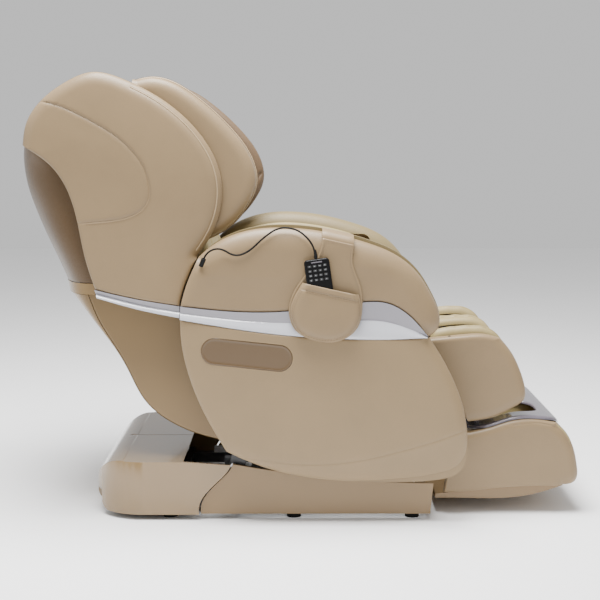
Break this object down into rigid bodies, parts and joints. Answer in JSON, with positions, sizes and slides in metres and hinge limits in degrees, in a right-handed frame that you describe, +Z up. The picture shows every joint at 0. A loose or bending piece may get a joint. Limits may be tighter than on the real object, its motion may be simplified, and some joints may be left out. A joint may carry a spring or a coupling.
{
  "type": "massage chair",
  "caption": "Reclining massage chair with wrap-around shoulder wings, forearm channels, calf and foot wells, a sliding seat and a wired remote in a side pouch",
  "frame": {"origin": "On the floor, below the middle of the chair's bounding box", "axes": "+X forward towards the feet, +Y the sitter's left, +Z up"},
  "size_m": [1.5466, 0.8174, 1.1975],
  "materials": {
    "leather_beige": "beige synthetic leather, soft sheen",
    "leather_olive": "pale olive quilted synthetic leather",
    "gloss_bronze": "glossy champagne-bronze ABS",
    "gloss_brown": "glossy brown ABS",
    "satin_silver": "satin silver painted ABS",
    "gloss_black": "gloss black ABS",
    "matte_black": "matte black moulding",
    "matte_bronze": "matte bronze ABS",
    "rubber_black": "black rubber",
    "steel_dark": "black powder-coated steel",
    "steel_bright": "bright steel",
    "grey_plastic": "grey moulding"
  },
  "bodies": {
    "base": {"base_frame": "steel_dark", "base_rear_cover": "gloss_bronze", "base_front_cover": "matte_bronze", "base_feet": "rubber_black", "slide_rails": "steel_bright", "power_supply": "grey_plastic", "air_pump": "grey_plastic", "power_inlet": "matte_black"},
    "rocker": {"mains_switch": "matte_black"},
    "wheel_left": {"transport_wheel_left": "rubber_black"},
    "wheel_right": {"transport_wheel_right": "rubber_black"},
    "carriage": {"carriage_frame": "steel_dark"},
    "tilt_tube": {"tilt_actuator_tube": "matte_black"},
    "tilt_rod": {"tilt_actuator_rod": "steel_bright"},
    "seat": {"seat_frame": "steel_dark", "hinge_pins": "steel_bright", "seat_cushion": "leather_beige", "arm_pad_left": "leather_beige", "arm_pad_right": "leather_beige", "arm_liner_left": "leather_olive", "arm_liner_right": "leather_olive", "arm_trim_left": "satin_silver", "arm_trim_right": "satin_silver", "arm_panel_left": "leather_beige", "arm_panel_right": "leather_beige", "name_plates": "gloss_brown", "pouch": "leather_beige", "handset_case": "gloss_black", "handset_cable": "rubber_black", "cable_gland": "rubber_black", "recline_actuator_tube": "matte_black", "leg_actuator_tube": "matte_black", "control_board": "grey_plastic"},
    "keypad": {"handset_buttons": "rubber_black"},
    "recline_rod": {"recline_actuator_rod": "steel_bright"},
    "leg_rod": {"leg_actuator_rod": "steel_bright"},
    "back": {"back_frame": "steel_dark", "back_wing_left": "leather_beige", "back_wing_right": "leather_beige", "back_strips": "satin_silver", "back_rear_cover": "gloss_bronze", "back_lower_cover": "gloss_bronze", "shoulder_pads": "leather_beige", "back_pad": "leather_olive", "pillow_bar": "steel_bright"},
    "pillow": {"pillow": "leather_beige"},
    "massage": {"massage_carriage": "grey_plastic"},
    "kneader": {"kneading_shaft": "grey_plastic"},
    "leg": {"calf_frame": "steel_dark", "calf_sides": "leather_beige", "calf_pad": "leather_olive", "calf_rear_panel": "matte_black"},
    "foot": {"foot_slide_bars": "steel_bright", "foot_shell": "leather_beige", "foot_liner": "leather_olive", "foot_trim": "satin_silver", "foot_bottom_cover": "matte_black"},
    "roller_left": {"foot_roller_left": "grey_plastic"},
    "roller_right": {"foot_roller_right": "grey_plastic"}
  },
  "joints": [
    {"name": "seat_slide", "type": "slide", "parent": "base", "child": "carriage", "axis": [1, 0, 0], "range_m": [0, 0.1]},
    {"name": "seat_tilt", "type": "hinge", "parent": "carriage", "child": "seat", "pos_m": [-0.167, 0.01275, 0.14], "axis": [0, -1, 0], "range_deg": [0, 10]},
    {"name": "tilt_tube_turn", "type": "hinge", "parent": "carriage", "child": "tilt_tube", "pos_m": [0.183, 0.01275, 0.11], "axis": [0, -1, 0], "range_deg": [0, 6.5]},
    {"name": "tilt_rod_slide", "type": "slide", "parent": "tilt_tube", "child": "tilt_rod", "axis": [-0.1266, 0, 0.9919], "range_m": [0, 0.06]},
    {"name": "back_recline", "type": "hinge", "parent": "seat", "child": "back", "pos_m": [-0.182, 0.01275, 0.42], "axis": [0, -1, 0], "range_deg": [0, 30]},
    {"name": "recline_rod_slide", "type": "slide", "parent": "seat", "child": "recline_rod", "axis": [1, 0, 0], "range_m": [0, 0.05]},
    {"name": "leg_lift", "type": "hinge", "parent": "seat", "child": "leg", "pos_m": [0.418, 0.01275, 0.47], "axis": [0, -1, 0], "range_deg": [0, 70]},
    {"name": "leg_rod_slide", "type": "slide", "parent": "seat", "child": "leg_rod", "axis": [1, 0, 0], "range_m": [0, 0.161]},
    {"name": "foot_extend", "type": "slide", "parent": "leg", "child": "foot", "axis": [0.4019, 0, -0.9157], "range_m": [0, 0.111]},
    {"name": "massage_travel", "type": "slide", "parent": "back", "child": "massage", "axis": [-0.342, 0, 0.9397], "range_m": [-0.07, 0.22]},
    {"name": "kneader_turn", "type": "hinge", "parent": "massage", "child": "kneader", "pos_m": [-0.35784, 0.01275, 0.71879], "axis": [0, 1, 0], "continuous": true},
    {"name": "pillow_flip", "type": "hinge", "parent": "back", "child": "pillow", "pos_m": [-0.407, 0.01275, 1.176], "axis": [0, -1, 0], "range_deg": [0, 60]},
    {"name": "keypad_press", "type": "slide", "parent": "seat", "child": "keypad", "axis": [0, 1, 0], "range_m": [0, 0.0006], "stiffness_N_per_m": 2000},
    {"name": "rocker_turn", "type": "hinge", "parent": "base", "child": "rocker", "pos_m": [-0.536, 0.18075, 0.071], "axis": [0, 1, 0], "range_deg": [-6, 6]},
    {"name": "wheel_left_turn", "type": "hinge", "parent": "base", "child": "wheel_left", "pos_m": [-0.481, 0.24775, 0.034], "axis": [0, 1, 0], "continuous": true},
    {"name": "wheel_right_turn", "type": "hinge", "parent": "base", "child": "wheel_right", "pos_m": [-0.481, -0.22225, 0.034], "axis": [0, 1, 0], "continuous": true},
    {"name": "roller_left_turn", "type": "hinge", "parent": "foot", "child": "roller_left", "pos_m": [0.593, 0.13675, 0.112], "axis": [0, 1, 0], "continuous": true},
    {"name": "roller_right_turn", "type": "hinge", "parent": "foot", "child": "roller_right", "pos_m": [0.593, -0.11125, 0.112], "axis": [0, 1, 0], "continuous": true}
  ],
  "couplings": [
    {"joint": "tilt_tube_turn", "follows": "seat_tilt", "ratio": 0.63667},
    {"joint": "tilt_rod_slide", "follows": "seat_tilt", "m_per_rad": 0.33537},
    {"joint": "recline_rod_slide", "follows": "back_recline", "m_per_rad": 0.092983},
    {"joint": "leg_rod_slide", "follows": "leg_lift", "m_per_rad": 0.13096},
    {"joint": "foot_extend", "follows": "leg_lift", "m_per_rad": 0.090036}
  ]
}
